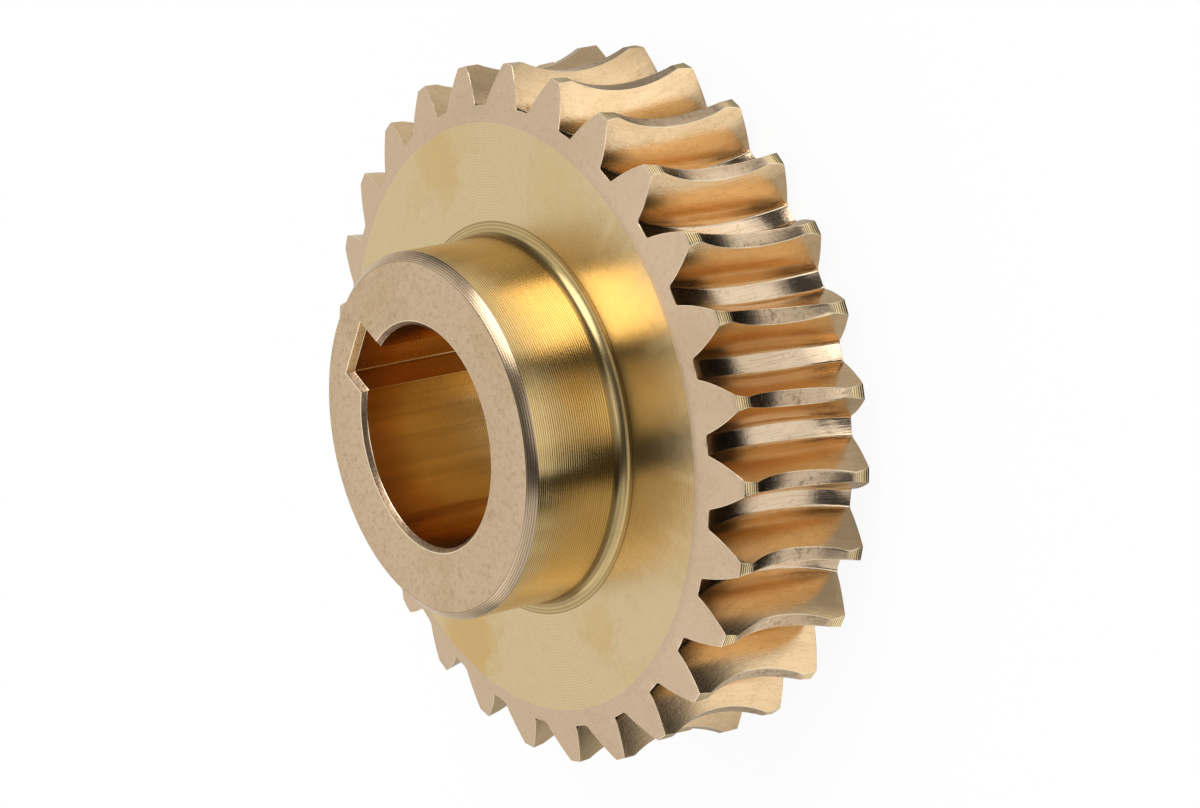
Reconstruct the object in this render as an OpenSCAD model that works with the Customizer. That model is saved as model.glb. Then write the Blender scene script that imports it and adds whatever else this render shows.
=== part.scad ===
// Worm wheel, machined in one piece from a bronze blank. It has a throated tooth ring with
// bevelled sides, a plain disc, a hub on one side and a bore with a keyway.
// The wheel's axis is Z. It stands on its flat back face, with the hub up and the keyway
// towards +X. The worm that drives it runs along Y, level with the middle of the tooth ring.

/* [Gearing] */
// Number of teeth round the wheel
teeth = 27; // [24:1:30]
// Axial module of the worm
axial_module = 2; // [1.9:0.05:2.1]
// Number of starts on the worm
worm_starts = 1; // [1:1:2]
// Pitch diameter of the worm
worm_d = 26; // [24:0.5:30]
// Pressure angle of the worm's thread, in degrees
pressure_angle = 20; // [18:0.5:22]
// Thickness of the worm's thread at its pitch line
thread_w = 3.24; // [3:0.02:3.3]
// Depth of the tooth spaces below the pitch circle
dedendum = 2.1; // [1.9:0.05:2.4]
// Height of the throat above the pitch circle
addendum = 2; // [1.8:0.05:2.2]
// Height of the flat lands above the bottom of the throat
land_rise = 1.25; // [0.8:0.05:1.5]
// Rounding at the roots of the teeth
root_round = 0.3; // [0.2:0.05:0.4]
// Turn of the tooth spaces from the keyway, in degrees
space_turn = 0.2; // [-6:0.1:6]

/* [Rim and disc] */
// Width of the disc
disc_w = 15.6; // [14:0.1:18]
// Width of the bevelled ring on each side, measured from the lands inwards
bevel_w = 4.9; // [4.5:0.1:6]
// Fall of the bevelled ring from the disc to the lands
bevel_drop = 1.4; // [0.8:0.1:2]

/* [Hub] */
// Diameter of the hub
hub_d = 31.5; // [28:0.5:38]
// Height of the hub above the disc
hub_h = 9.4; // [5:0.1:15]
// Chamfer round the end of the hub
hub_chamfer = 0.75; // [0.3:0.05:1.5]
// Fillet at the foot of the hub
hub_fillet = 1.2; // [0.3:0.1:1.6]

/* [Bore and keyway] */
// Diameter of the bore
bore_d = 19.05; // [16:0.05:22]
// Chamfer at both ends of the bore
bore_chamfer = 0.4; // [0.2:0.05:0.8]
// Width of the keyway
key_w = 4.76; // [4:0.02:7]
// Depth of the keyway beyond the bore
key_depth = 2.2; // [1.8:0.1:3.4]
// Chamfer round both mouths of the keyway
key_chamfer = 0.5; // [0.2:0.05:0.6]

/* [Hidden] */
$fn = 180;
// Steps down each flank, round each root, across the throat and across each bevel
flank_steps = 3;
root_steps = 2;
throat_steps = 4;
bevel_steps = 3;
// How far a cut runs out past the surface that it opens
runout = 0.3;
// How far the wall round the blank stands clear of the lands
wall_clear = 0.9;
// Height below the end of a tooth space at which it no longer counts as open
end_margin = 0.003;
// Halvings of the span in which the depth of a mark is looked for
halvings = 24;
// Degrees in a radian
deg = 180 / PI;

bore_r = bore_d / 2;
hub_r = hub_d / 2;
wheel_h = disc_w + hub_h;
mid_z = disc_w / 2;
pitch_r = axial_module * teeth / 2;
worm_r = worm_d / 2;
centre_d = pitch_r + worm_r;
throat_r = worm_r - addendum;
land_r = pitch_r + addendum + land_rise;
disc_r = land_r - bevel_w;
key_floor = bore_r + key_depth;
// Advance of the worm's thread for one radian of its turn
advance = axial_module * worm_starts / 2;
// The thread's crest, and the centre of the rounding that joins it to each flank
crest_r = worm_r + dedendum;
round_r = crest_r - root_round;
round_y = half_thread(round_r) - root_round / cos(pressure_angle);
foot_r = round_r + root_round * sin(pressure_angle);
// Heights above the middle of the rim where the throat meets the lands, where the lands
// meet the bevels, and where the bottoms of the tooth spaces come out on the bevels
throat_z = sqrt(pow(throat_r, 2) - pow(centre_d - land_r, 2));
land_z = mid_z - bevel_drop;
bevel_k = bevel_w / bevel_drop;
bevel_c = centre_d - land_r - land_z * bevel_k;
open_z = let (k = pow(bevel_k, 2) + 1)
    (sqrt(pow(bevel_c * bevel_k, 2) - k * (pow(bevel_c, 2) - pow(crest_r, 2))) - bevel_c * bevel_k) / k;
// Heights of the sections of the tooth ring, from its middle up, and then all of them
upper_z = concat(
    [for (i = [1 : throat_steps / 2]) throat_z * 2 * i / throat_steps],
    [for (i = [0 : bevel_steps]) land_z + (open_z - land_z) * i / bevel_steps],
    [mid_z + runout]
);
section_z = concat([for (i = [len(upper_z) - 1 : -1 : 0]) -upper_z[i]], [0], upper_z);

// Half the thickness of the worm's thread at distance r from the worm's axis
function half_thread(r) = thread_w / 2 + (worm_r - r) * tan(pressure_angle);

// Place on the turning wheel where a point of the thread leaves its mark. y is the point's
// place along the worm, d its depth below the worm's axis, and dy and dd the direction of
// the thread's outline there. The mark is made where the outline's normal meets the pitch
// line, and the wheel has then turned by the angle a.
function mark(y, d, dy, dd) =
    let (w = (worm_r - d) * dd / dy, a = deg * (w - y) / pitch_r, r = centre_d - d)
    [r * cos(a) + w * sin(a), w * cos(a) - r * sin(a)];

// Mark of the flank on one side of the thread, at height z and depth d
function flank_mark(z, side, d) =
    let (r = norm([d, z]), y = advance * atan2(z, d) / deg + side * half_thread(r))
    mark(y, d, -advance * z / pow(r, 2) - side * tan(pressure_angle) * d / r, 1);

// Mark of the rounding at the thread's crest, at height z and angle t round the rounding
function root_mark(z, side, t) =
    let (
        r = round_r + root_round * sin(t),
        d = sqrt(pow(r, 2) - pow(z, 2)),
        y = advance * atan2(z, d) / deg + side * (round_y + root_round * cos(t)),
        dd = root_round * cos(t) * r / d
    )
    mark(y, d, -advance * z / pow(r, 2) * dd - side * root_round * sin(t), dd);

// Depth at which the flank's mark lies at radius r, found by halving the span from lo to hi
function flank_depth(z, side, r, lo, hi, n) =
    let (d = (lo + hi) / 2)
    n <= 0 ? d
        : norm(flank_mark(z, side, d)) > r ? flank_depth(z, side, r, d, hi, n - 1)
        : flank_depth(z, side, r, lo, d, n - 1);

// Radius of the turned rim at height z: throat, then land, then bevel
function rim_radius(z) =
    abs(z) < throat_z ? centre_d - sqrt(pow(throat_r, 2) - pow(z, 2))
        : land_r - max(abs(z) - land_z, 0) * bevel_k;

// One side of a tooth space at height z, from the rim down to the bottom
function side_marks(z, side) =
    let (
        foot_d = sqrt(pow(foot_r, 2) - pow(z, 2)),
        rim_d = flank_depth(z, side, rim_radius(z), centre_d - rim_radius(z), foot_d, halvings)
    )
    concat(
        [for (i = [0 : flank_steps]) flank_mark(z, side, rim_d + (foot_d - rim_d) * i / flank_steps)],
        [for (i = [1 : root_steps])
            root_mark(z, side, pressure_angle + (90 - pressure_angle) * i / root_steps)]
    );

// Outline of a tooth space at height z, down one side and up the other. Past the place
// where the space comes out on the bevel, its points lie round the plain bevel.
function space_outline(z) =
    let (
        last_z = sign(z) * (land_z + (open_z - land_z) * (1 - 1 / bevel_steps)),
        toothed = abs(z) < open_z - end_margin,
        left = side_marks(toothed ? z : last_z, -1),
        right = side_marks(toothed ? z : last_z, 1),
        marks = concat(left, [for (i = [len(right) - 1 : -1 : 0]) right[i]])
    )
    toothed ? marks : [for (p = marks) p * rim_radius(z) / norm(p)];

function turned(p, a) = [p[0] * cos(a) - p[1] * sin(a), p[0] * sin(a) + p[1] * cos(a)];

// Everything outside the finished tooth ring: the spaces between the teeth, the throat and
// what the lands and bevels leave, out to a wall round the blank
module around_teeth() {
    m = 2 * (flank_steps + root_steps + 1);
    n = m * teeth;
    pitch = 360 / teeth;
    wall_r = (land_r + wall_clear) / cos(pitch / 2);
    reach = mid_z + runout;
    rings = len(section_z);
    outlines = [for (z = section_z) space_outline(z)];
    points = concat(
        [for (j = [0 : rings - 1], i = [0 : teeth - 1], p = outlines[j])
            let (q = turned(p, i * pitch))
            [q[0], q[1], section_z[j]]],
        [for (z = [-reach, reach], i = [0 : teeth - 1])
            [wall_r * cos(i * pitch), wall_r * sin(i * pitch), z]]
    );
    ring_faces = [
        for (j = [0 : rings - 2], i = [0 : n - 1])
            let (a = j * n + i, b = j * n + (i + 1) % n)
            for (f = [[a, b, b + n], [a, b + n, a + n]]) f
    ];
    wall = rings * n;
    top = (rings - 1) * n;
    end_faces = [
        for (i = [0 : teeth - 1], p = [0 : m])
            let (
                a = i * m + p,
                b = p == m ? wall + (i + 1) % teeth : (i * m + p + 1) % n,
                f = [a % n, wall + i, b],
                g = [a % n + top, p == m ? b + teeth : b + top, wall + teeth + i]
            )
            for (h = [f, g]) h
    ];
    wall_faces = [
        for (i = [0 : teeth - 1])
            let (a = wall + i, b = wall + (i + 1) % teeth)
            for (f = [[a, b + teeth, b], [a, a + teeth, b + teeth]]) f
    ];
    polyhedron(points = points, faces = concat(ring_faces, end_faces, wall_faces), convexity = 10);
}

// Turned blank: a disc a little larger than the finished rim, and the hub
module blank() {
    rotate_extrude()
        polygon([
            [0, 0],
            [land_r + runout, 0],
            [land_r + runout, disc_w],
            [hub_r, disc_w],
            [hub_r, wheel_h - hub_chamfer],
            [hub_r - hub_chamfer, wheel_h],
            [0, wheel_h]
        ]);
}

// Fillet where the hub meets the disc
module foot_fillet() {
    translate([0, 0, disc_w])
        rotate_extrude()
            difference() {
                translate([hub_r - runout, -runout])
                    square(hub_fillet + runout);
                translate([hub_r + hub_fillet, hub_fillet])
                    circle(hub_fillet);
            }
}

// Bore with a chamfer at each end
module bore() {
    translate([0, 0, -runout])
        cylinder(h = wheel_h + 2 * runout, r = bore_r);
    translate([0, 0, -runout])
        cylinder(h = bore_chamfer + runout, r1 = bore_r + bore_chamfer + runout, r2 = bore_r);
    translate([0, 0, wheel_h - bore_chamfer])
        cylinder(h = bore_chamfer + runout, r1 = bore_r, r2 = bore_r + bore_chamfer + runout);
}

// Flared mouth of the keyway, opening upwards from a height of 0
module keyway_mouth() {
    half = key_w / 2;
    flare = key_chamfer + runout;
    polyhedron(
        points = [
            [0, -half, -key_chamfer],
            [key_floor, -half, -key_chamfer],
            [key_floor, half, -key_chamfer],
            [0, half, -key_chamfer],
            [0, -half - flare, runout],
            [key_floor + flare, -half - flare, runout],
            [key_floor + flare, half + flare, runout],
            [0, half + flare, runout]
        ],
        faces = [[0, 1, 2, 3], [7, 6, 5, 4], [4, 5, 1, 0], [5, 6, 2, 1], [6, 7, 3, 2], [7, 4, 0, 3]]
    );
}

// Keyway along the bore, with both mouths chamfered
module keyway() {
    translate([0, -key_w / 2, -runout])
        cube([key_floor, key_w, wheel_h + 2 * runout]);
    translate([0, 0, wheel_h])
        keyway_mouth();
    mirror([0, 0, 1])
        keyway_mouth();
}

module worm_wheel() {
    color("#c79a55")
        difference() {
            union() {
                blank();
                foot_fillet();
            }
            translate([0, 0, mid_z])
                rotate(space_turn)
                    around_teeth();
            bore();
            keyway();
        }
}

worm_wheel();
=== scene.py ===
# %% [markdown]
# The worm wheel
#
# A bronze worm wheel, turned and hobbed in one piece: a ring of 27 hollow teeth, a plain disc, a
# hub on one side and a bore with a keyway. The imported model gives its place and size. This script
# makes a finer wheel in the same place, and gives each machined surface the marks of its own tool.

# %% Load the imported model
import math

import bmesh
import bpy
from mathutils import Matrix, Vector


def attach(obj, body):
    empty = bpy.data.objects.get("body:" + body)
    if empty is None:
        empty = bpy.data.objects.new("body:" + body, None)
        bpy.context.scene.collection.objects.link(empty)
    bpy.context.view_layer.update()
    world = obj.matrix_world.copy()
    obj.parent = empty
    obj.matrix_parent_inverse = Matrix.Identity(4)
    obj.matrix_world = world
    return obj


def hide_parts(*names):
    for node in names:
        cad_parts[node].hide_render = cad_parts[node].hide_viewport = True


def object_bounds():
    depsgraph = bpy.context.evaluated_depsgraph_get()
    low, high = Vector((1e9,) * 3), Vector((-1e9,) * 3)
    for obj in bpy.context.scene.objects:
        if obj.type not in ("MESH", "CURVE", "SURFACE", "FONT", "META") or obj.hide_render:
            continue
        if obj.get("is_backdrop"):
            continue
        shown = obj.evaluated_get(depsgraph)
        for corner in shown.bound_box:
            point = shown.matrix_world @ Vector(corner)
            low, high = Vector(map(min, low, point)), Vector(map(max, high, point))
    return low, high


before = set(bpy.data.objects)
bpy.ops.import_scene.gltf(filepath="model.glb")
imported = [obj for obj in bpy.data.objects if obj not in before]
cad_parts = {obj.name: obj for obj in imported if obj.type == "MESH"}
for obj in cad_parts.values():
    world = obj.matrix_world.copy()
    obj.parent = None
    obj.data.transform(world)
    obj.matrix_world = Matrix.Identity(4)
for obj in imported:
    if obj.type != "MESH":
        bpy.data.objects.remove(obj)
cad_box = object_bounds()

print("packed model:", [tuple(round(1000 * c, 2) for c in corner) for corner in cad_box])

# %% [markdown]
# The camera
#
# The photo was taken with a long lens, from above and to one side. A camera could be turned by hand
# until the picture looks right, but a fit to the outlines in the photo is closer. So the place is
# written as three coordinates in metres, the aim as three turns in degrees, and then the lens in
# millimetres. The object is small, so the camera clips close.

# %% Camera
CAMERA_PLACE = (-0.234818, -0.242823, 0.232347)
CAMERA_TURN = (-17.0612, 54.5083, -154.6479)
LENS = 141.387
SENSOR_W = 36
CLIP_START = 0.01


def add_camera():
    bpy.ops.object.camera_add(location=CAMERA_PLACE, rotation=[math.radians(a) for a in CAMERA_TURN])
    camera = bpy.context.object
    camera.name = "camera"
    camera.data.lens = LENS
    camera.data.sensor_width = SENSOR_W
    camera.data.sensor_fit = "HORIZONTAL"
    camera.data.clip_start = CLIP_START
    bpy.context.scene.camera = camera
    return camera


camera = add_camera()
print("camera", round(camera.location.length, 3), "m from the wheel")

# %% [markdown]
# Sizes
#
# These are the wheel's sizes in millimetres, the same as in the part's own source. The worm that
# drives the wheel has sizes here too, because its thread is what shapes the teeth. Heights of the
# tooth ring are measured from its middle, level with the worm's axis.

# %% Sizes
MM = 0.001
TEETH = 27
MODULE = 2.0
WORM_R = 13.0
PRESSURE = math.radians(20)
THREAD_W = 3.24
DEDENDUM = 2.1
ADDENDUM = 2.0
LAND_RISE = 1.25
ROOT_ROUND = 0.3
SPACE_TURN = math.radians(0.2)
DISC_W = 15.6
BEVEL_W = 4.9
BEVEL_DROP = 1.4
HUB_R = 15.75
HUB_H = 9.4
HUB_CHAMFER = 0.75
HUB_FILLET = 1.2
BORE_R = 9.525
BORE_CHAMFER = 0.4
KEY_W = 4.76
KEY_DEPTH = 2.2
KEY_CHAMFER = 0.5

WHEEL_H = DISC_W + HUB_H
MID_Z = DISC_W / 2
PITCH = 2 * math.pi / TEETH
PITCH_R = MODULE * TEETH / 2
CENTRE_D = PITCH_R + WORM_R
THROAT_R = WORM_R - ADDENDUM
LAND_R = PITCH_R + ADDENDUM + LAND_RISE
DISC_R = LAND_R - BEVEL_W
CREST_R = WORM_R + DEDENDUM
ROUND_R = CREST_R - ROOT_ROUND
FOOT_R = ROUND_R + ROOT_ROUND * math.sin(PRESSURE)
THROAT_Z = math.sqrt(THROAT_R ** 2 - (CENTRE_D - LAND_R) ** 2)
LAND_Z = MID_Z - BEVEL_DROP
BEVEL_SLOPE = BEVEL_W / BEVEL_DROP
print("ring of", TEETH, "teeth, lands at", LAND_R, "mm, disc edge at", DISC_R, "mm")

# %% [markdown]
# The tooth spaces
#
# A hob cuts the spaces while it and the wheel turn together, so each flank is the trace of the
# thread rolled on the pitch circle. A plain helical tooth bent by eye would miss the hollow and
# the flare towards the faces, so the trace is worked out point by point: `mark` gives where a
# point of the thread leaves its mark on the wheel, and `side_mark` follows the thread's outline
# from its flank round to its crest.

# %% The mark of the thread
RUN_OUT = 0.5
CREST_GAP = 1e-4


def half_thread(r):
    """Half the thickness of the worm's thread at distance r from the worm's axis."""
    return THREAD_W / 2 + (WORM_R - r) * math.tan(PRESSURE)


def mark(y, d, dy, dd):
    """Place on the wheel, as x and y, where a point of the thread leaves its mark.

    y is the point's place along the worm and d its depth below the worm's axis. dy and dd give
    the direction of the thread's outline there.
    """
    w = (WORM_R - d) * dd / dy
    turn = (w - y) / PITCH_R
    r = CENTRE_D - d
    x = r * math.cos(turn) + w * math.sin(turn)
    return x, w * math.cos(turn) - r * math.sin(turn)


ROUND_Y = half_thread(ROUND_R) - ROOT_ROUND / math.cos(PRESSURE)


def side_mark(z, side, q):
    """Mark of one side of the thread at height z: q from 0 to 1 is the flank, from 1 to 2 the root."""
    if q < 1:
        foot = math.sqrt(FOOT_R ** 2 - z * z)
        top = CENTRE_D - LAND_R - RUN_OUT
        d = top + (foot - top) * q
        r = math.hypot(d, z)
        y = math.atan2(z, d) * MODULE / 2 + side * half_thread(r)
        return mark(y, d, -MODULE / 2 * z / r ** 2 - side * math.tan(PRESSURE) * d / r, 1)
    t = min(PRESSURE + (math.pi / 2 - PRESSURE) * (q - 1), math.pi / 2 - CREST_GAP)
    r = ROUND_R + ROOT_ROUND * math.sin(t)
    d = math.sqrt(r * r - z * z)
    y = math.atan2(z, d) * MODULE / 2 + side * (ROUND_Y + ROOT_ROUND * math.cos(t))
    dd = ROOT_ROUND * math.cos(t) * r / d
    return mark(y, d, -MODULE / 2 * z / r ** 2 * dd - side * ROOT_ROUND * math.sin(t), dd)


def rim_radius(z):
    """Radius of the turned rim at height z: the hollow throat, then a land, then the bevel."""
    if abs(z) < THROAT_Z:
        return CENTRE_D - math.sqrt(THROAT_R ** 2 - z * z)
    return LAND_R - max(abs(z) - LAND_Z, 0) * BEVEL_SLOPE


def halve(low, high, past, steps=40):
    """The value between low and high from which past is true, found by halving the span."""
    for _ in range(steps):
        middle = (low + high) / 2
        low, high = (low, middle) if past(middle) else (middle, high)
    return (low + high) / 2


OPEN_Z = halve(LAND_Z, MID_Z, lambda z: math.hypot(*side_mark(z, 1, 2)) > rim_radius(z))
FOOT_Z = halve(LAND_Z, MID_Z, lambda z: math.hypot(*side_mark(z, 1, 1)) > rim_radius(z))
print("the spaces come out on the bevel", round(OPEN_Z, 3), "mm from the middle")

# %% [markdown]
# One tooth space as a sheet
#
# A flat grid is wrapped round one pitch of the rim: from the middle of a tooth's tip, down one
# flank, over the floor, up the other flank and to the middle of the next tip. Its columns follow
# the outline of the space and its rows the width of the rim, so every sharp edge of a tooth is an
# unbroken line of the grid, which can be broken evenly later.

# %% Rows and columns of the sheet
TIP_STEPS, FLANK_STEPS, ROOT_STEPS, FLOOR_STEPS = 2, 6, 4, 2
COLUMNS = 2 * (TIP_STEPS + FLANK_STEPS + ROOT_STEPS) + FLOOR_STEPS
AROUND = COLUMNS * TEETH
THROAT_ROWS, LAND_ROWS, BEVEL_ROWS, CORNER_ROWS, FACE_ROWS = 9, 2, 6, 2, 2
SAME = 1e-9


def spread(a, b, steps):
    """Even steps from a, which is left out, to b."""
    return [a + (b - a) * i / steps for i in range(1, steps + 1)]


upper = spread(0, THROAT_Z, THROAT_ROWS) + spread(THROAT_Z, LAND_Z, LAND_ROWS)
upper += spread(LAND_Z, FOOT_Z, BEVEL_ROWS) + spread(FOOT_Z, OPEN_Z, CORNER_ROWS)
upper += spread(OPEN_Z, MID_Z, FACE_ROWS)
HEIGHTS = [-z for z in reversed(upper)] + [0] + upper
print("rows:", len(HEIGHTS), "columns:", COLUMNS)


def side_points(z, side):
    """Points of one side of the space at height z, as angle and radius, from the rim down."""
    rim = rim_radius(z)
    start = halve(0, 2, lambda q: math.hypot(*side_mark(z, side, q)) < rim)
    if start < 1:
        stops = [start] + spread(start, 1, FLANK_STEPS) + spread(1, 2, ROOT_STEPS)
    else:
        stops = [start] + spread(start, 2, FLANK_STEPS + ROOT_STEPS)
    marks = [side_mark(z, side, q) for q in stops]
    return [(math.atan2(y, x), math.hypot(x, y)) for x, y in marks]


def outline(z):
    """One pitch of the rim at height z, as angle and radius."""
    bound = max(-OPEN_Z, min(OPEN_Z, z))
    left = side_points(bound, -1)
    right = list(reversed(side_points(bound, 1)))
    rim = rim_radius(z)
    middle = (left[0][0] + right[-1][0]) / 2
    points = [(middle - PITCH / 2, rim)]
    points += [(a, rim) for a in spread(middle - PITCH / 2, left[0][0], TIP_STEPS)]
    points += left[1:]
    points += [(a, left[-1][1]) for a in spread(left[-1][0], right[0][0], FLOOR_STEPS)]
    points += right[1:]
    points += [(a, rim) for a in spread(right[-1][0], middle + PITCH / 2, TIP_STEPS)]
    if abs(z) <= OPEN_Z + SAME:
        return points
    even = (abs(z) - OPEN_Z) / (MID_Z - OPEN_Z)
    plain = [middle + PITCH * (i / COLUMNS - 0.5) for i in range(COLUMNS + 1)]
    return [(a + (b - a) * even, rim) for (a, r), b in zip(points, plain)]


def place(v, angle, radius, height):
    v.co = (radius * MM * math.cos(angle), radius * MM * math.sin(angle), height * MM)


# %% The sheet
def tooth_sheet():
    bpy.ops.object.select_all(action="DESELECT")
    bpy.ops.mesh.primitive_grid_add(x_subdivisions=COLUMNS, y_subdivisions=len(HEIGHTS) - 1, size=1)
    sheet = bpy.context.object
    for j, z in enumerate(HEIGHTS):
        for i, (angle, radius) in enumerate(outline(z)):
            v = sheet.data.vertices[j * (COLUMNS + 1) + i]
            place(v, SPACE_TURN + angle, radius, MID_Z + z)
    return sheet


wheel = tooth_sheet()
wheel.name = "bronze_wheel"
print("sheet of", len(wheel.data.vertices), "points")

# %% [markdown]
# The tooth ring
#
# One tooth space is modelled and the rest are copies, as the hob cuts them all alike. Each copy
# has its own mesh, turned by one pitch more than the last. The copies are joined, and the points
# that meet along the middles of the tips are merged.

# %% Copies round the ring
MERGE = 2e-6


def copy_round(first, count):
    bpy.ops.object.select_all(action="DESELECT")
    for k in range(1, count):
        other = first.copy()
        other.data = first.data.copy()
        other.data.transform(Matrix.Rotation(k * PITCH, 4, "Z"))
        bpy.context.collection.objects.link(other)
        other.select_set(True)
    first.select_set(True)
    bpy.context.view_layer.objects.active = first
    bpy.ops.object.join()


copy_round(wheel, TEETH)
bpy.ops.object.mode_set(mode="EDIT")
bpy.ops.mesh.select_all(action="SELECT")
bpy.ops.mesh.remove_doubles(threshold=MERGE)
print("tooth ring of", len(bmesh.from_edit_mesh(wheel.data).faces), "faces")

# %% [markdown]
# The disc, the hub and the bore
#
# The open edge of the ring is drawn inwards like a lathe cut, one extrusion for each corner of
# the profile: over the disc, up the fillet and the hub, across the hub's end and down the bore to
# the back face, where it meets the ring's other edge. The keyway could be cut by a boolean, but
# that leaves ragged faces, so the ring's points near +X are drawn out to the keyway's outline. Every
# point keeps the number of its step round the axis, so that the last ring meets the teeth exactly.

# %% The outline of the bore
STEP = 2 * math.pi / AROUND
KEY_FLOOR_STEPS = 24
KEY_SIDE_STEPS = 31
DISC_TURN = SPACE_TURN + sum(a for a, r in outline(MID_Z)[:: COLUMNS]) / 2
BACK_TURN = SPACE_TURN + sum(a for a, r in outline(-MID_Z)[:: COLUMNS]) / 2
print("the keyway takes", 2 * KEY_SIDE_STEPS, "of", AROUND, "steps round the bore")


def bore_outline(step, chamfer, key_chamfer):
    """Point of the bore's outline with its keyway, both widened by their chamfers."""
    r = BORE_R + chamfer
    half = KEY_W / 2 + key_chamfer
    floor = BORE_R + KEY_DEPTH + key_chamfer
    side = 1 if step > 0 else -1
    if abs(step) <= KEY_FLOOR_STEPS:
        return floor, half * step / KEY_FLOOR_STEPS
    edge = math.asin(half / r)
    if abs(step) <= KEY_SIDE_STEPS:
        share = (abs(step) - KEY_FLOOR_STEPS) / (KEY_SIDE_STEPS - KEY_FLOOR_STEPS)
        return floor + (r * math.cos(edge) - floor) * share, side * half
    share = (abs(step) - KEY_SIDE_STEPS) / (AROUND / 2 - KEY_SIDE_STEPS)
    angle = edge + (math.pi - edge) * share
    return r * math.cos(angle), side * r * math.sin(angle)


# %% Drawing one ring from another
def draw_ring(height, radius=None, bore=None, turn=0.0):
    """Extrudes the selected ring onto a circle, or onto the outline of the bore.

    In the bore, height is a pair: for the round part and for the keyway. bore holds the chamfers
    that widen the two.
    """
    bpy.ops.mesh.extrude_region_move()
    mesh = bmesh.from_edit_mesh(wheel.data)
    for v in [v for v in mesh.verts if v.select]:
        if bore is None:
            place(v, v[number] * STEP + turn, radius, height)
        else:
            x, y = bore_outline(v[number], *bore)
            key = abs(v[number]) <= KEY_SIDE_STEPS
            v.co = (x * MM, y * MM, (height[1] if key else height[0]) * MM)
    bmesh.update_edit_mesh(wheel.data)


def select_open_ring(height):
    """Selects the open edges at a height and numbers their points round the axis."""
    bpy.ops.mesh.select_all(action="DESELECT")
    mesh = bmesh.from_edit_mesh(wheel.data)
    for edge in mesh.edges:
        if edge.is_boundary and all(abs(v.co.z - height * MM) < MERGE for v in edge.verts):
            edge.select_set(True)
    for v in [v for v in mesh.verts if v.select]:
        step = round((math.atan2(v.co.y, v.co.x) - DISC_TURN) / STEP)
        v[number] = (step + AROUND // 2) % AROUND - AROUND // 2
    bmesh.update_edit_mesh(wheel.data)


# %% Disc, fillet and hub
FILLET_STEPS = 6
HUB_RINGS = (3.5, 6.0)
END_RING_R = 13.4

bpy.ops.mesh.select_mode(type="EDGE")
bmesh.from_edit_mesh(wheel.data).verts.layers.int.new("step")
number = bmesh.from_edit_mesh(wheel.data).verts.layers.int["step"]
select_open_ring(DISC_W)
draw_ring(DISC_W, HUB_R + HUB_FILLET)
for angle in spread(0, math.pi / 2, FILLET_STEPS):
    radius = HUB_R + HUB_FILLET * (1 - math.sin(angle))
    draw_ring(DISC_W + HUB_FILLET * (1 - math.cos(angle)), radius)
for rise in HUB_RINGS:
    draw_ring(DISC_W + rise, HUB_R)
draw_ring(WHEEL_H - HUB_CHAMFER, HUB_R)
draw_ring(WHEEL_H, HUB_R - HUB_CHAMFER)
draw_ring(WHEEL_H, END_RING_R)
print("faces with the hub:", len(bmesh.from_edit_mesh(wheel.data).faces))

# %% Bore, keyway and back
BORE_RINGS = (20, 15, 10, 5)
BACK_RINGS = (14.5, 20)

draw_ring((WHEEL_H, WHEEL_H), bore=(BORE_CHAMFER, KEY_CHAMFER))
draw_ring((WHEEL_H - BORE_CHAMFER, WHEEL_H - KEY_CHAMFER), bore=(0, 0))
for height in BORE_RINGS:
    draw_ring((height, height), bore=(0, 0))
draw_ring((BORE_CHAMFER, KEY_CHAMFER), bore=(0, 0))
draw_ring((0, 0), bore=(BORE_CHAMFER, KEY_CHAMFER))
for radius in BACK_RINGS:
    draw_ring(0, radius)
draw_ring(0, DISC_R, turn=BACK_TURN)
bpy.ops.mesh.select_all(action="SELECT")
bpy.ops.mesh.remove_doubles(threshold=MERGE)
bpy.ops.mesh.normals_make_consistent(inside=False)
mesh = bmesh.from_edit_mesh(wheel.data)
print("open edges:", sum(not e.is_manifold for e in mesh.edges), "volume",
      round(mesh.calc_volume() * 1e9), "mm3")
bpy.ops.object.mode_set(mode="OBJECT")

# %% [markdown]
# Surfaces
#
# Each tool leaves its own finish, so the faces are sorted by where they lie: faced and turned
# surfaces, lands, throat, flanks, bore and chamfers. Each sort has a material of its own. The
# faces could be picked by hand, but a rule on their place and direction picks all 27 teeth alike.

# %% Sorts of surface
SORTS = ["disc", "bevel", "land", "throat", "flank", "root", "hub_side", "hub_end", "chamfer",
         "bore", "keyway", "key_chamfer", "bore_chamfer", "fillet", "back", "edge"]
NEAR = 0.1
ON_RIM = 0.06
CLOSE = 0.01
LEVEL = 0.999
STEEP = 0.8


def sort_of(face):
    """The sort of surface that a face belongs to."""
    c = face.calc_center_median() / MM
    r = math.hypot(c.x, c.y)
    up = face.normal.z
    if abs(up) > LEVEL:
        return "hub_end" if c.z > WHEEL_H - NEAR else "disc" if c.z > 1 else "back"
    if r > HUB_R + HUB_FILLET:
        return tooth_sort(c, r, face.normal)
    if r > HUB_R + CLOSE / 10:
        return "fillet"
    if r > HUB_R - HUB_CHAMFER - NEAR:
        return "hub_side" if abs(up) < NEAR else "chamfer"
    if abs(up) > NEAR:
        floor_side = c.x > BORE_R + 1 and abs(face.normal.x) > abs(face.normal.y)
        return "key_chamfer" if floor_side else "bore_chamfer"
    return "bore" if r < BORE_R + CLOSE and outwards(c, r, face.normal) < -0.99 else "keyway"


def outwards(c, r, normal):
    return (c.x * normal.x + c.y * normal.y) / r


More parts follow.
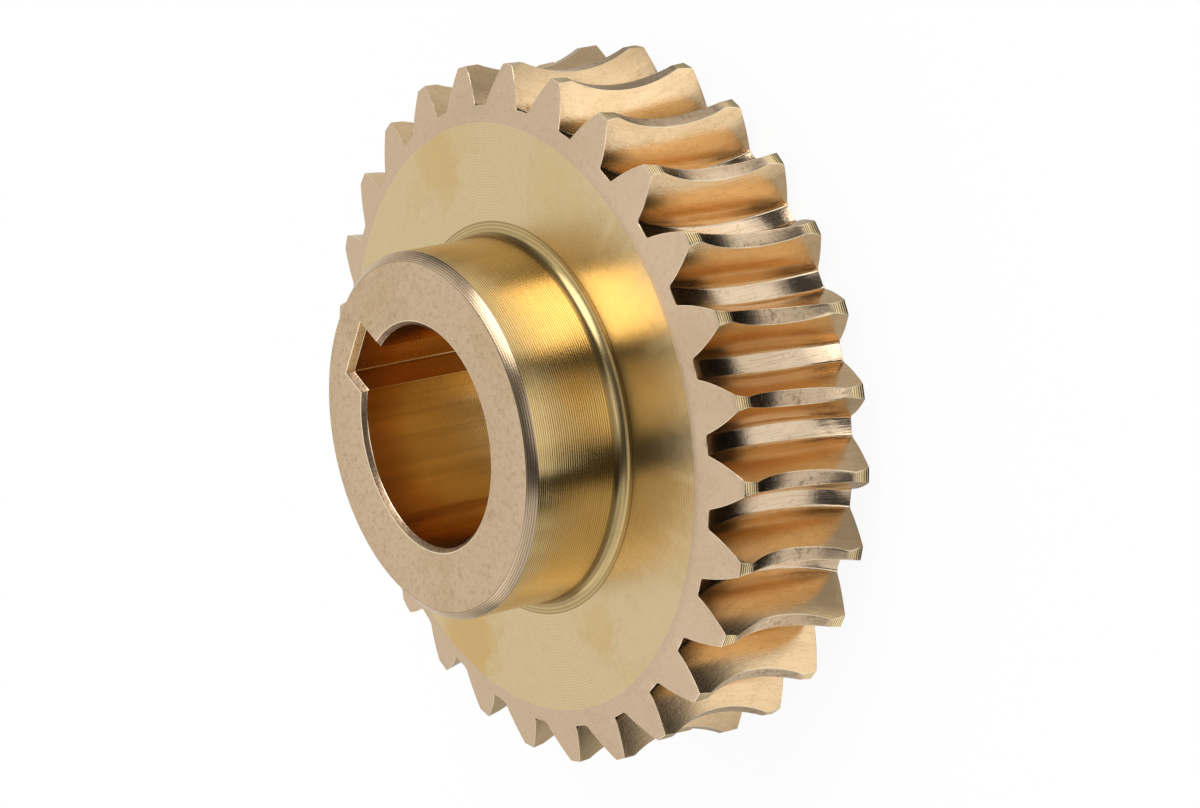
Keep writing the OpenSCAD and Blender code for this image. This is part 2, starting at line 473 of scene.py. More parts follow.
def tooth_sort(c, r, normal):
    z = c.z - MID_Z
    on_rim = abs(z) < MID_Z and abs(r - rim_radius(z)) < ON_RIM
    if on_rim and abs(z) > LAND_Z and abs(normal.z) > STEEP:
        return "bevel"
    if on_rim and outwards(c, r, normal) > STEEP:
        return "land" if abs(z) > THROAT_Z else "throat"
    return "root" if math.hypot(CENTRE_D - r, z) > FOOT_R + CLOSE else "flank"


for name in SORTS:
    wheel.data.materials.append(bpy.data.materials.new(name))
mesh = bmesh.new()
mesh.from_mesh(wheel.data)
counts = dict.fromkeys(SORTS, 0)
for face in mesh.faces:
    sort = sort_of(face)
    counts[sort] += 1
    face.material_index = SORTS.index(sort)
mesh.to_mesh(wheel.data)
mesh.free()
print("faces:", counts)

# %% [markdown]
# Broken edges
#
# A machinist runs a file or a stone over every sharp edge, which leaves a thin bright line. Edges
# could be bevelled one by one, but a bevel weight lets one Bevel modifier cut them all, the outer
# edges a little and the corners of the keyway more.

# %% Which edges are broken
EDGE_W = 0.045
CORNER_W = 0.12
BEVEL_MERGE = 1e-6
SHARP = math.radians(32)


def sharp_outer(edge):
    return edge.is_convex and edge.calc_face_angle() > SHARP


def keyway_corner(edge):
    """The two inner corners of the keyway, which the broach leaves a little round."""
    upright = all(abs(face.normal.z) < NEAR for face in edge.link_faces)
    inside = all(math.hypot(v.co.x, v.co.y) < (HUB_R - 1) * MM for v in edge.verts)
    return upright and inside and not edge.is_convex and edge.calc_face_angle() > SHARP


def weigh_edges(wanted, weight):
    bpy.ops.mesh.select_all(action="DESELECT")
    mesh = bmesh.from_edit_mesh(wheel.data)
    for edge in mesh.edges:
        if len(edge.link_faces) == 2 and wanted(edge):
            edge.select_set(True)
    print(wanted.__name__, "edges:", sum(edge.select for edge in mesh.edges))
    bmesh.update_edit_mesh(wheel.data)
    bpy.ops.transform.edge_bevelweight(value=weight)


# %% The bevel
bpy.ops.object.select_all(action="DESELECT")
wheel.select_set(True)
bpy.context.view_layer.objects.active = wheel
bpy.ops.object.mode_set(mode="EDIT")
bpy.ops.mesh.select_mode(type="EDGE")
weigh_edges(sharp_outer, EDGE_W / CORNER_W)
weigh_edges(keyway_corner, 1)
bpy.ops.object.mode_set(mode="OBJECT")
bevel = wheel.modifiers.new("broken_edges", "BEVEL")
bevel.limit_method = "WEIGHT"
bevel.width = CORNER_W * MM
bevel.segments = 2
bevel.use_clamp_overlap = False
bevel.material = SORTS.index("edge")
bpy.ops.object.modifier_apply(modifier=bevel.name)
bpy.ops.object.mode_set(mode="EDIT")
bpy.ops.mesh.select_all(action="SELECT")
bpy.ops.mesh.remove_doubles(threshold=BEVEL_MERGE)
mesh = bmesh.from_edit_mesh(wheel.data)
print("open edges after the bevel:", sum(not e.is_manifold for e in mesh.edges))
bpy.ops.object.mode_set(mode="OBJECT")
print("after the edges:", len(wheel.data.polygons), "faces")

# %% [markdown]
# The chamfer of the hub
#
# The lathe turned this chamfer and no file touched it, so in the photo its two edges show no bright
# line. The faces that the bevel made there take the finish of the chamfer.

# %% The hub's chamfer keeps its finish
def beside_chamfer(face):
    c = face.center / MM
    outside = math.hypot(c.x, c.y) > HUB_R - HUB_CHAMFER - NEAR
    return outside and WHEEL_H - c.z < HUB_CHAMFER + NEAR


lines = [face for face in wheel.data.polygons
         if face.material_index == SORTS.index("edge") and beside_chamfer(face)]
for face in lines:
    face.material_index = SORTS.index("chamfer")
print("faces beside the chamfer:", len(lines))

# %% [markdown]
# Shading
#
# The curved surfaces are shaded smooth and the edges stay crisp. Weighted normals keep the large
# flat faces flat beside their narrow bevels. Then the finished piece takes the place of the packed
# one, which is hidden, so it stands in for it in the picture. Then the finished piece takes the
# place of the packed one, so it stands in for it in the picture while the imported one keeps the
# collisions.

# %% Shading and place
SMOOTH = math.radians(26)

bpy.ops.object.shade_smooth_by_angle(angle=SMOOTH)
weighted = wheel.modifiers.new("flat_faces", "WEIGHTED_NORMAL")
weighted.keep_sharp = True
bpy.ops.object.modifier_apply(modifier=weighted.name)

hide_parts("worm_wheel")
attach(wheel, "root")
print("size in mm:", [round(side / MM, 2) for side in wheel.dimensions])

# %% [markdown]
# Marks of the tools
#
# A lathe tool leaves fine rings, a hob leaves scratches along the teeth, and handling leaves
# stains. Each kind of mark is a node group, built once and placed in every material that shows it.
# The groups are given object coordinates, so the marks stay with the metal. First come small
# helpers that add one node each.

# %% Helpers for node trees
def math_node(tree, operation, *values):
    """A Math node. Each value is a number or a socket."""
    node = tree.nodes.new("ShaderNodeMath")
    node.operation = operation
    for socket, value in zip(node.inputs, values):
        if isinstance(value, (int, float)):
            socket.default_value = value
        else:
            tree.links.new(value, socket)
    return node.outputs[0]


def noise(tree, vector, scale, detail=3.0, roughness=0.5, distortion=0.0):
    node = tree.nodes.new("ShaderNodeTexNoise")
    for name, value in (("Scale", scale), ("Detail", detail), ("Roughness", roughness),
                        ("Distortion", distortion)):
        if isinstance(value, (int, float)):
            node.inputs[name].default_value = value
        else:
            tree.links.new(value, node.inputs[name])
    tree.links.new(vector, node.inputs["Vector"])
    return node.outputs["Fac"]


def between(tree, value, low, high):
    """Rises smoothly from 0 where the value is low to 1 where it is high."""
    node = tree.nodes.new("ShaderNodeMapRange")
    node.interpolation_type = "SMOOTHSTEP"
    node.inputs["From Min"].default_value = low
    node.inputs["From Max"].default_value = high
    tree.links.new(value, node.inputs["Value"])
    return node.outputs["Result"]


def vector(tree, x, y, z):
    node = tree.nodes.new("ShaderNodeCombineXYZ")
    for socket, value in zip(node.inputs, (x, y, z)):
        if isinstance(value, (int, float)):
            socket.default_value = value
        else:
            tree.links.new(value, socket)
    return node.outputs[0]


def new_group(name, inputs, outputs):
    """An empty node group with named inputs, given as (name, kind, value), and float outputs."""
    tree = bpy.data.node_groups.new(name, "ShaderNodeTree")
    for label, kind, value in inputs:
        socket = tree.interface.new_socket(label, in_out="INPUT", socket_type=kind)
        if value is not None:
            socket.default_value = value
    for label in outputs:
        tree.interface.new_socket(label, in_out="OUTPUT", socket_type="NodeSocketFloat")
    return tree, tree.nodes.new("NodeGroupInput").outputs, tree.nodes.new("NodeGroupOutput").inputs


# %% [markdown]
# Rings of the lathe tool
#
# Across the grooves the height rises and falls once for each turn of the work. No two grooves are
# quite alike, so a noise along the same line makes some deeper. The distance across the grooves
# is a plain input: the radius on a face, the height on a cylinder.

# %% Tool rings
def tool_rings():
    tree, given, wanted = new_group(
        "tool_rings",
        [("Distance", "NodeSocketFloat", 0), ("Around", "NodeSocketFloat", 0),
         ("Pitch", "NodeSocketFloat", 0.0002)],
        ["Height", "Uneven"])
    phase = math_node(tree, "DIVIDE", given["Distance"], given["Pitch"])
    wobble = noise(tree, vector(tree, phase, given["Around"], 0), 0.35, 3)
    turn = math_node(tree, "MULTIPLY", phase, 2 * math.pi)
    shift = math_node(tree, "MULTIPLY", wobble, 5)
    wave = math_node(tree, "SINE", math_node(tree, "ADD", turn, shift))
    fine = noise(tree, vector(tree, phase, 0, 0), 1.7, 4, 0.7)
    wave = math_node(tree, "MULTIPLY_ADD", wave, 0.35, 0.5)
    tree.links.new(math_node(tree, "MULTIPLY_ADD", fine, 0.6, wave), wanted["Height"])
    tree.links.new(wobble, wanted["Uneven"])
    return tree


RINGS = tool_rings()
print("group:", RINGS.name, "of", len(RINGS.nodes), "nodes")

# %% [markdown]
# Stains and grain
#
# Fingers and oil leave soft patches with darker rims. A faced surface that was only roughly
# finished shows a fine grain of tiny pits and ridges.

# %% Stain and grain
def stains():
    tree, given, wanted = new_group(
        "stains",
        [("Vector", "NodeSocketVector", None), ("Size", "NodeSocketFloat", 90)],
        ["Patch", "Rim"])
    field = noise(tree, given["Vector"], given["Size"], 4, 0.62, 0.4)
    tree.links.new(between(tree, field, 0.52, 0.66), wanted["Patch"])
    near = math_node(tree, "ABSOLUTE", math_node(tree, "SUBTRACT", field, 0.56))
    rim = math_node(tree, "SUBTRACT", 1, between(tree, near, 0.002, 0.02))
    tree.links.new(rim, wanted["Rim"])
    return tree


def grain():
    tree, given, wanted = new_group(
        "grain",
        [("Vector", "NodeSocketVector", None), ("Size", "NodeSocketFloat", 4000)],
        ["Height", "Pits", "Mottle"])
    fine = noise(tree, given["Vector"], given["Size"], 2, 0.6)
    coarse = noise(tree, given["Vector"], math_node(tree, "MULTIPLY", given["Size"], 0.3), 3, 0.6)
    height = math_node(tree, "MULTIPLY_ADD", coarse, 0.8, fine)
    tree.links.new(height, wanted["Height"])
    tree.links.new(between(tree, height, 1.0, 1.14), wanted["Pits"])
    tree.links.new(between(tree, height, 0.78, 1.08), wanted["Mottle"])
    return tree


STAINS = stains()
GRAIN = grain()
print("groups:", STAINS.name, "and", GRAIN.name)

# %% [markdown]
# Streaks of the hob
#
# The hob's edges sweep round the worm's axis, so they leave scratches on arcs about that axis. A
# noise that is stretched along those arcs gives them. It takes the radius and the height on the
# wheel and works out how far the point is from the worm's axis.

# %% Streaks
def hob_streaks():
    tree, given, wanted = new_group(
        "hob_streaks",
        [("Radius", "NodeSocketFloat", 0), ("Height", "NodeSocketFloat", 0),
         ("Around", "NodeSocketFloat", 0)],
        ["Streaks", "Scratches"])
    out = math_node(tree, "SUBTRACT", CENTRE_D * MM, given["Radius"])
    up = math_node(tree, "SUBTRACT", given["Height"], MID_Z * MM)
    away = math_node(tree, "SQRT", math_node(
        tree, "ADD", math_node(tree, "MULTIPLY", out, out), math_node(tree, "MULTIPLY", up, up)))
    along = math_node(tree, "MULTIPLY", math_node(tree, "ARCTAN2", up, out), 1.3)
    across = math_node(tree, "MULTIPLY", away, 2600)
    beside = math_node(tree, "MULTIPLY", given["Around"], 70)
    soft = noise(tree, vector(tree, across, along, beside), 0.5, 3, 0.55)
    fine = noise(tree, vector(tree, across, along, beside), 3.0, 4, 0.7)
    tree.links.new(soft, wanted["Streaks"])
    tree.links.new(fine, wanted["Scratches"])
    return tree


HOB = hob_streaks()
print("group:", HOB.name, "of", len(HOB.nodes), "nodes")

# %% [markdown]
# The bronze
#
# Every sort of surface is the same metal with other marks on it, and some sorts have painted light or
# painted shade in their colour. A picture of brass wrapped round the wheel would not follow the teeth,
# so the material is built up in layers: the metal and its stains, then the grain, the rings of the
# lathe, the scratches of the hob, and single patches and lines of painted shade last. Each layer takes
# the colour and the height made so far, and hands them on.

# %% Small helpers for the layers
def group_node(tree, group, **values):
    """Places a node group. The names of its inputs are given in lower case."""
    node = tree.nodes.new("ShaderNodeGroup")
    node.node_tree = group
    for name, value in values.items():
        socket = node.inputs[name.capitalize()]
        if isinstance(value, (int, float)):
            socket.default_value = value
        else:
            tree.links.new(value, socket)
    return node.outputs


def mixed(tree, share, one, other):
    """Mixes two colours, each a tuple or a socket. A share of 1 gives the second."""
    node = tree.nodes.new("ShaderNodeMix")
    node.data_type = "RGBA"
    tree.links.new(share, node.inputs[0])
    for socket, value in ((node.inputs[6], one), (node.inputs[7], other)):
        if isinstance(value, tuple):
            socket.default_value = (*value, 1)
        else:
            tree.links.new(value, socket)
    return node.outputs[2]


def scaled(tree, value, share):
    return math_node(tree, "MULTIPLY", value, share)


def opposite(tree, value):
    return math_node(tree, "SUBTRACT", 1, value)


def shade(colour, share):
    return tuple(share * c for c in colour)


def place_on_wheel(tree):
    """Object coordinates, and the same point as radius, angle round the axis and height."""
    place = tree.nodes.new("ShaderNodeTexCoord").outputs["Object"]
    split = tree.nodes.new("ShaderNodeSeparateXYZ")
    tree.links.new(place, split.inputs[0])
    x, y, z = split.outputs
    squares = math_node(tree, "ADD", math_node(tree, "MULTIPLY", x, x),
                        math_node(tree, "MULTIPLY", y, y))
    return place, math_node(tree, "SQRT", squares), math_node(tree, "ARCTAN2", y, x), z


# %% Layers of stain and grain
RIM_SHADE = 0.72
SOFT_SHADE = 0.75
DARK_SHADE = 0.45


def stain_layer(tree, stain, clean, stained, tone):
    colour = mixed(tree, scaled(tree, stain["Patch"], tone), clean, stained)
    return mixed(tree, scaled(tree, stain["Rim"], 0.3 * tone), colour, shade(stained, RIM_SHADE))


def grain_layer(tree, specks, colour, stained, tone, mottle):
    soft, dark = shade(stained, SOFT_SHADE), shade(stained, DARK_SHADE)
    colour = mixed(tree, scaled(tree, specks["Mottle"], mottle), colour, soft)
    return mixed(tree, scaled(tree, specks["Pits"], tone), colour, dark)


# %% Layers of tool marks
def ring_layer(tree, line, colour, height, dark, depth, tone):
    height = math_node(tree, "MULTIPLY_ADD", line["Height"], depth, height)
    low = opposite(tree, between(tree, line["Height"], 0.55, 1.1))
    return mixed(tree, scaled(tree, low, tone), colour, dark), height


def hob_layer(tree, hob, colour, height, stained, dark, depth, tone):
    broad = scaled(tree, between(tree, hob["Streaks"], 0.5, 0.7), tone)
    colour = mixed(tree, broad, colour, stained)
    narrow = scaled(tree, between(tree, hob["Scratches"], 0.52, 0.7), tone)
    colour = mixed(tree, narrow, colour, dark)
    return colour, math_node(tree, "MULTIPLY_ADD", hob["Scratches"], depth, height)


def band_layer(tree, around, z, colour, dark, tone):
    """Broad dark bands along the bore, where the boring bar chattered and the oil stayed."""
    where = vector(tree, scaled(tree, around, 3), 0, scaled(tree, z, 5))
    low = scaled(tree, between(tree, noise(tree, where, 2.5, 3, 0.6), 0.42, 0.66), tone)
    return mixed(tree, low, colour, dark)


# %% Single patches and lines of painted shade
GOLDEN = (0.88, 0.72, 0.42)


def patch_layer(tree, place, colour, clean, patch):
    """A ragged golden patch: x, y, z and size in millimetres, and its tone."""
    x, y, z, size, tone = patch
    off = tree.nodes.new("ShaderNodeVectorMath")
    off.operation = "DISTANCE"
    off.inputs[1].default_value = (x * MM, y * MM, z * MM)
    tree.links.new(place, off.inputs[0])
    ragged = math_node(tree, "MULTIPLY_ADD", noise(tree, place, 420, 5, 0.7), 2.2, -0.1)
    reach = math_node(tree, "MULTIPLY", off.outputs["Value"], ragged)
    inside = opposite(tree, between(tree, reach, 0.5 * size * MM, size * MM))
    golden = tuple(c * share for c, share in zip(clean, GOLDEN))
    return mixed(tree, scaled(tree, inside, tone), colour, golden)


def shade_line_layer(tree, radius, colour, dark, line):
    """A thin line of painted shade round the axis: its radius and width in millimetres, and its tone.
    """
    place, width, tone = line
    off = math_node(tree, "ABSOLUTE", math_node(tree, "SUBTRACT", radius, place * MM))
    inside = opposite(tree, between(tree, off, 0.4 * width * MM, width * MM))
    return mixed(tree, scaled(tree, inside, tone), colour, dark)


# %% [markdown]
# The shader
#
# Bronze is a plain metal, so its colour does all the work. The highlight is stretched across the
# grooves, as turned metal does, so the shader gets a tangent that runs round the axis. Depths of
# the marks are in millimetres, which the Bump node turns into metres.

# %% The shader of a surface
GLANCING = (1, 0.93, 0.82, 1)
QUARTER_TURN = 0.25


def finish_shader(tree, shader, colour, rough, height, stretch):
    tree.links.new(colour, shader.inputs["Base Color"])
    tree.links.new(rough, shader.inputs["Roughness"])
    bump = tree.nodes.new("ShaderNodeBump")
    bump.inputs["Strength"].default_value = 1
    bump.inputs["Distance"].default_value = MM
    tree.links.new(height, bump.inputs["Height"])
    tree.links.new(bump.outputs[0], shader.inputs["Normal"])
    shader.inputs["Metallic"].default_value = 1
    shader.inputs["Specular Tint"].default_value = GLANCING
    shader.inputs["Anisotropic"].default_value = stretch
    shader.inputs["Anisotropic Rotation"].default_value = QUARTER_TURN
    tangent = tree.nodes.new("ShaderNodeTangent")
    tangent.direction_type = "RADIAL"
    tangent.axis = "Z"
    tree.links.new(tangent.outputs[0], shader.inputs["Tangent"])


# %% Bronze with its marks
STAIN_ROUGHNESS = 0.03
PIT_ROUGHNESS = 0.3


def bronze(name, clean, stained, roughness, stretch=0.0, rings=None, pitch=0.0002, ring_depth=0.0,
           ring_tone=0.0, grain_size=4000, grain_depth=0.0, grain_tone=0.0, mottle=0.0,
           stain_size=90, stain_tone=0.6, streak_depth=0.0, streak_tone=0.0, bands=0.0,
           patches=(), lines=()):
    """Makes the material of one sort of surface.

    clean and stained are the two tones of the metal. rings is the direction across the grooves:
    "out" on a face, "up" on a cylinder. Pitches are in metres, depths in millimetres, and a tone
    is the share of the dark colour at the middle of a mark.
    """
    material = bpy.data.materials[name]
    material.use_nodes = True
    tree = material.node_tree
    place, radius, around, z = place_on_wheel(tree)
    dark = shade(stained, DARK_SHADE)
    stain = group_node(tree, STAINS, vector=place, size=stain_size)
    specks = group_node(tree, GRAIN, vector=place, size=grain_size)
    colour = stain_layer(tree, stain, clean, stained, stain_tone)
    colour = grain_layer(tree, specks, colour, stained, grain_tone, mottle)
    height = scaled(tree, specks["Height"], grain_depth)
    if rings:
        across = radius if rings == "out" else z
        line = group_node(tree, RINGS, distance=across, around=around, pitch=pitch)
        colour, height = ring_layer(tree, line, colour, height, dark, ring_depth, ring_tone)
    if streak_tone:
        hob = group_node(tree, HOB, radius=radius, height=z, around=around)
        colour, height = hob_layer(tree, hob, colour, height, stained, dark, streak_depth,
                                   streak_tone)
    if bands:
        colour = band_layer(tree, around, z, colour, dark, bands)
    for patch in patches:
        colour = patch_layer(tree, place, colour, clean, patch)
    for line in lines:
        colour = shade_line_layer(tree, radius, colour, dark, line)
    rough = math_node(tree, "MULTIPLY_ADD", stain["Patch"], STAIN_ROUGHNESS, roughness)
    rough = math_node(tree, "MULTIPLY_ADD", specks["Pits"], PIT_ROUGHNESS * grain_tone, rough)
    finish_shader(tree, tree.nodes["Principled BSDF"], colour, rough, height, stretch)
    print(name, "of", len(tree.nodes), "nodes")


# %% [markdown]
# Faces turned on the lathe
#
# The disc was faced with a fine feed and shines yellow, with fine rings and a few golden patches.
# The bevel and the hub's end are duller and a little pink, with a grain of tiny pits, as if they
# had been cut through the skin of the casting and left. The back is guessed to be like the disc.

# %% Disc, bevel, hub end and back
# The dark line where the disc meets the fillet is painted shade.
bronze("disc", (0.63, 0.49, 0.28), (0.60, 0.44, 0.19), 0.23, 0.7,
       rings="out", pitch=0.00022, ring_depth=0.004, ring_tone=0.16,
       grain_depth=0.002, grain_tone=0.06, mottle=0.08, stain_tone=0.4,
       patches=((-2.5, 23.5, 15.6, 4.8, 0.7), (-17.5, 9, 15.6, 3, 0.35), (19, -13, 15.6, 4, 0.35)),
       lines=((HUB_R + HUB_FILLET, 0.07, 0.5),))
bronze("bevel", (0.60, 0.45, 0.31), (0.52, 0.38, 0.24), 0.38, 0.3,
       rings="out", pitch=0.00016, ring_depth=0.006, ring_tone=0.2,
       grain_size=7000, grain_depth=0.013, grain_tone=0.16, mottle=0.12, stain_tone=0.35)
bronze("hub_end", (0.58, 0.43, 0.28), (0.49, 0.35, 0.20), 0.36, 0.3,
       rings="out", pitch=0.00016, ring_depth=0.004, ring_tone=0.14,
       grain_size=6500, grain_depth=0.018, grain_tone=0.28, mottle=0.34)
bronze("back", (0.62, 0.49, 0.29), (0.56, 0.42, 0.22), 0.26, 0.6,
       rings="out", pitch=0.00022, ring_depth=0.004, ring_tone=0.3, mottle=0.15)

# %% [markdown]
# The hub
#
# The tool left deeper grooves on the hub than on the disc, so its side shows clear rings and a
# broad golden highlight. The chamfer has coarse steps. The fillet at the foot is painted darker, as
# painted shade in the corner, with a thin line of painted shade in the crease beside the hub and
# another along its outer edge.

# %% Side, chamfer and fillet of the hub
bronze("hub_side", (0.77, 0.57, 0.26), (0.70, 0.48, 0.18), 0.16, 0.8,
       rings="up", pitch=0.00022, ring_depth=0.011, ring_tone=0.6,
       grain_depth=0.003, stain_tone=0.4, patches=((-9.5, -12.5, 19.5, 2.4, 0.45),))
bronze("chamfer", (0.56, 0.42, 0.28), (0.42, 0.30, 0.18), 0.24, 0.4,
       rings="up", pitch=0.00014, ring_depth=0.006, ring_tone=0.6)
# The fillet's darker colour and its two dark lines are painted shade.
bronze("fillet", (0.50, 0.37, 0.17), (0.42, 0.30, 0.13), 0.24, 0.4,
       rings="out", pitch=0.00030, ring_depth=0.008, ring_tone=0.45,
       lines=((HUB_R + 0.08, 0.09, 0.85), (HUB_R + HUB_FILLET, 0.08, 0.6)))

# %% [markdown]
# The teeth
#
# The lands keep the rings of the lathe. Throat, flanks and root floors were cut by the hob, which
# leaves them the smoothest of all, with fine scratches along the teeth. The flanks look orange
# because each mirrors the next, and bronze colours the light twice.

# %% Lands, throat, flanks and root floors
bronze("land", (0.88, 0.69, 0.38), (0.70, 0.52, 0.26), 0.20, 0.5,
       rings="up", pitch=0.00023, ring_depth=0.014, ring_tone=0.9)
bronze("throat", (0.58, 0.44, 0.30), (0.46, 0.32, 0.19), 0.24, 0.2,
       grain_size=2600, grain_depth=0.012, grain_tone=0.5, mottle=0.3,
       streak_depth=0.010, streak_tone=0.5)
bronze("flank", (0.80, 0.58, 0.34), (0.62, 0.41, 0.20), 0.17, 0.3,
       grain_size=3500, grain_depth=0.004, grain_tone=0.1, mottle=0.1, stain_tone=0.3,
       streak_depth=0.010, streak_tone=0.3)
bronze("root", (0.72, 0.56, 0.39), (0.56, 0.40, 0.25), 0.12, 0.2,
       grain_size=3500, grain_depth=0.005, grain_tone=0.2, stain_tone=0.3,
       streak_depth=0.010, streak_tone=0.45)

# %% [markdown]
# The bore
#
# Inside the bore the light bounces many times, so the bore and the keyway are painted a deep orange,
# a painted glow of that bounce light. The bore has faint bands along its length, and the broached
# keyway has none of the lathe's rings. The chamfers round its mouth are rough, and the ones that face
# the light look dark between the bright faces, so their colours are painted dark as painted shade.

# %% Bore, keyway and their chamfers
# The deep orange of the bore and the keyway is a painted glow of the light that bounces inside.
bronze("bore", (0.86, 0.57, 0.22), (0.72, 0.42, 0.13), 0.18, 0.4,
       rings="up", pitch=0.00018, ring_depth=0.003, ring_tone=0.25,
       grain_tone=0.1, mottle=0.1, stain_size=160, bands=0.35)
bronze("keyway", (0.80, 0.52, 0.24), (0.64, 0.38, 0.15), 0.20, 0.2,
       grain_depth=0.004, grain_tone=0.2, bands=0.3)
# The dark colours of the two chamfers are painted shade.
bronze("key_chamfer", (0.44, 0.27, 0.12), (0.34, 0.20, 0.08), 0.34, 0.2,
       grain_depth=0.03, grain_tone=0.5, mottle=0.4)
bronze("bore_chamfer", (0.28, 0.19, 0.12), (0.18, 0.12, 0.08), 0.36, 0.2,
       grain_depth=0.03, grain_tone=0.6, mottle=0.5)

# %% [markdown]
# The broken edges
#
# Where the file has passed, the metal is bare and pale, and the pale colour also makes a painted
# highlight along each edge.

# %% Edges
# The pale colour is partly bare metal and partly a painted highlight.
bronze("edge", (0.78, 0.66, 0.46), (0.70, 0.58, 0.40), 0.22)

# %% [markdown]
# Floor
#
# The wheel lies on white paper. The camera sees the paper close to pure white, with a faint
# shadow, while the metal mirrors a glow of painted light in its place, as the photo does: bright
# where a ray leaves the metal at a low angle, and a painted shadow where the ray comes straight down
# between the teeth and the table. Colour ramps give that glow its level by bearing: close to the
# wheel, near it and further out.

# %% Levels of the paper by bearing
CLOSE_LEVELS = (
    (-179, 0.55), (-170, 0.33), (-150, 0.38), (-140, 0.55), (-120, 0.5), (-100, 0.46), (-60, 0.5),
    (0, 0.65), (60, 0.5), (95, 0.4), (140, 0.6), (160, 1.1), (176, 1.15))
NEAR_LEVELS = (
    (-179, 1.0), (-160, 1.0), (-125, 1.0), (-110, 1.15), (-96, 1.45), (-79, 1.1), (-62, 0.4),
    (-40, 0.65), (0, 0.7), (60, 0.6), (95, 0.4), (140, 0.55), (160, 1.1), (176, 1.15))
FAR_LEVELS = (
    (-179, 0.04), (-169, 0.04), (-163, 0.8), (-140, 1.0), (-122, 0.9), (-116, 0.4), (-104, 0.3),
    (-96, 1.0), (-50, 1.0), (-30, 0.5), (-14, 0.5), (10, 0.9), (60, 1.0), (100, 0.7),
    (150, 0.6), (171, 0.35), (178, 0.04))


def ramp(tree, bearing, levels):
    """A Color Ramp over the bearing, which runs from 0 at -180 degrees to 1 at 180."""
    node = tree.nodes.new("ShaderNodeValToRGB")
    for angle, level in levels:
        stop = node.color_ramp.elements.new((angle + 180) / 360)
        stop.color = (level, level, level, 1)
    node.color_ramp.elements.remove(node.color_ramp.elements[0])
    node.color_ramp.elements.remove(node.color_ramp.elements[-1])
    tree.links.new(bearing, node.inputs["Fac"])
    return node.outputs["Color"]


print("stops:", len(CLOSE_LEVELS), len(NEAR_LEVELS), len(FAR_LEVELS))

# %% What the metal sees of the paper
CLOSE_TO_NEAR = (0.0315, 0.0335)
NEAR_TO_FAR = (0.05, 0.06)
STEEP_TO_LOW = (0.16, 0.28)
SHADOW_LEVEL = 0.01


# The glow that glossy rays see on the paper: painted light by bearing and distance, and a painted
# shadow for steep rays.
def painted_mirror_glow(tree):
    where = tree.nodes.new("ShaderNodeTexCoord").outputs["Object"]
    split = tree.nodes.new("ShaderNodeSeparateXYZ")
    tree.links.new(where, split.inputs[0])
    turn = math_node(tree, "ARCTAN2", split.outputs["Y"], split.outputs["X"])
    turn = math_node(tree, "MULTIPLY_ADD", turn, 0.5 / math.pi, 0.5)
    reach = tree.nodes.new("ShaderNodeVectorMath")
    reach.operation = "LENGTH"
    tree.links.new(where, reach.inputs[0])
    far_out = reach.outputs["Value"]
    close, near = ramp(tree, turn, CLOSE_LEVELS), ramp(tree, turn, NEAR_LEVELS)
    level = mixed(tree, between(tree, far_out, *CLOSE_TO_NEAR), close, near)
    far = ramp(tree, turn, FAR_LEVELS)
    level = mixed(tree, between(tree, far_out, *NEAR_TO_FAR), level, far)
    steep = tree.nodes.new("ShaderNodeLayerWeight")
    steep.inputs["Blend"].default_value = 0.5
    low = between(tree, steep.outputs["Facing"], *STEEP_TO_LOW)
    low = math_node(tree, "MULTIPLY_ADD", low, 1.0, SHADOW_LEVEL)
    return math_node(tree, "MULTIPLY", level, low)


# %% The paper
PAPER = (0.9, 0.9, 0.9, 1)
WHITE_SHARE = 0.93
FLOOR_SIZE = 6


def mixed_shader(tree, share, one, other):
    node = tree.nodes.new("ShaderNodeMixShader")
    for socket, source in zip(node.inputs, (share, one, other)):
        tree.links.new(source, socket)
    return node.outputs[0]


def paper_material():
    paper = bpy.data.materials.new("paper")
    paper.use_nodes = True
    tree = paper.node_tree
    plain = tree.nodes["Principled BSDF"]
    plain.inputs["Base Color"].default_value = PAPER
    plain.inputs["Roughness"].default_value = 1
    plain.inputs["Specular IOR Level"].default_value = 0
    white = tree.nodes.new("ShaderNodeEmission").outputs[0]
    path = tree.nodes.new("ShaderNodeLightPath").outputs
    share = scaled(tree, path["Is Camera Ray"], WHITE_SHARE)
    seen = mixed_shader(tree, share, plain.outputs[0], white)
    glow = tree.nodes.new("ShaderNodeEmission")
    tree.links.new(painted_mirror_glow(tree), glow.inputs["Strength"])
    seen = mixed_shader(tree, path["Is Glossy Ray"], seen, glow.outputs[0])
    tree.links.new(seen, tree.nodes["Material Output"].inputs["Surface"])
    return paper


bpy.ops.object.select_all(action="DESELECT")
bpy.ops.mesh.primitive_plane_add(size=FLOOR_SIZE, location=(0, 0, 0))
floor = bpy.context.object
floor.name = "floor"
floor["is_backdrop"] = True
floor.data.materials.append(paper_material())
print("floor:", tuple(round(side, 2) for side in floor.dimensions), "m")

# %% [markdown]
# Light
#
# A turned bronze part shows what stands round it, so the studio is a sky of soft round cards.
# Lamps would give hard dots, while cards in the sky give the broad bands of the photo. Each card
# has a bearing and a height in degrees, the angle at which its light starts to fall off, the angle
# at which it ends, and a strength. The strong box on the right gives the hub and the disc their
# golden highlight, and the gaps between the cards give the dark bands.

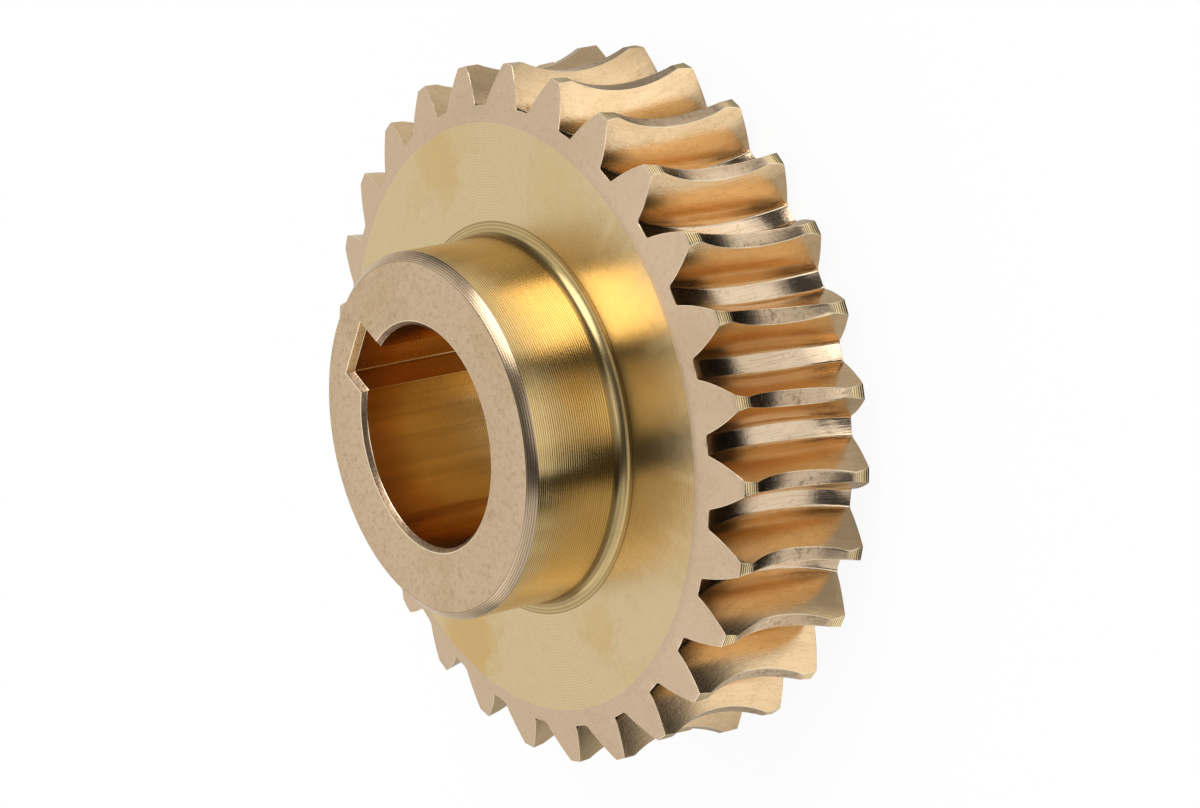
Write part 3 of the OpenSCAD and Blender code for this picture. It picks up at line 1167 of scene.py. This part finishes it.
# %% Cards of light
CARDS = (
    ("back_wall", 44, 42, 42, 62, 0.95),
    ("top", 46, 74, 12, 30, 0.3),
    ("right_box", 288, 34, 19, 24, 5.0),
    ("right_fill", 326, 33, 12, 24, 0.5),
    ("left_wall", 134, 24, 34, 41, 0.85),
    ("front_card", 218, 7, 14, 21, 1.3),
    ("camera_side", 224, 32, 13, 26, 0.95),
)
SKY = 0.06


def direction(azimuth, elevation):
    a, e = math.radians(azimuth), math.radians(elevation)
    return Vector((math.cos(a) * math.cos(e), math.sin(a) * math.cos(e), math.sin(e)))


def card_light(tree, where, card):
    """Light of one card, by how far the ray's direction is from the middle of the card."""
    name, azimuth, elevation, inner, outer, strength = card
    dot = tree.nodes.new("ShaderNodeVectorMath")
    dot.operation = "DOT_PRODUCT"
    dot.inputs[1].default_value = direction(azimuth, elevation)
    tree.links.new(where, dot.inputs[0])
    edge = tree.nodes.new("ShaderNodeMapRange")
    edge.label = name
    edge.interpolation_type = "SMOOTHSTEP"
    edge.inputs["From Min"].default_value = math.cos(math.radians(outer))
    edge.inputs["From Max"].default_value = math.cos(math.radians(inner))
    edge.inputs["To Max"].default_value = strength
    tree.links.new(dot.outputs["Value"], edge.inputs["Value"])
    return edge.outputs["Result"]


# %% The sky
def add_sky():
    world = bpy.data.worlds.new("studio")
    bpy.context.scene.world = world
    world.use_nodes = True
    tree = world.node_tree
    where = tree.nodes.new("ShaderNodeTexCoord").outputs["Generated"]
    total = SKY
    for card in CARDS:
        total = math_node(tree, "ADD", total, card_light(tree, where, card))
    path = tree.nodes.new("ShaderNodeLightPath").outputs
    seen = tree.nodes.new("ShaderNodeMix")
    seen.data_type = "FLOAT"
    tree.links.new(path["Is Camera Ray"], seen.inputs["Factor"])
    tree.links.new(total, seen.inputs["A"])
    seen.inputs["B"].default_value = 1
    background = tree.nodes["Background"]
    background.inputs["Color"].default_value = (1, 1, 1, 1)
    tree.links.new(seen.outputs["Result"], background.inputs["Strength"])


add_sky()
print("cards of light:", len(CARDS))

# %% [markdown]
# Finish
#
# The colours go out unchanged, and the boxes of the metal before and after are written down, so
# that they can be compared.

# %% Finish
bpy.context.scene.view_settings.view_transform = "Standard"
view_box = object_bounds()
sizes = {"cad": [list(c) for c in cad_box], "visual": [list(c) for c in view_box]}
for name, box in sizes.items():
    print(name, "box in mm:", [[round(c / MM, 2) for c in corner] for corner in box])
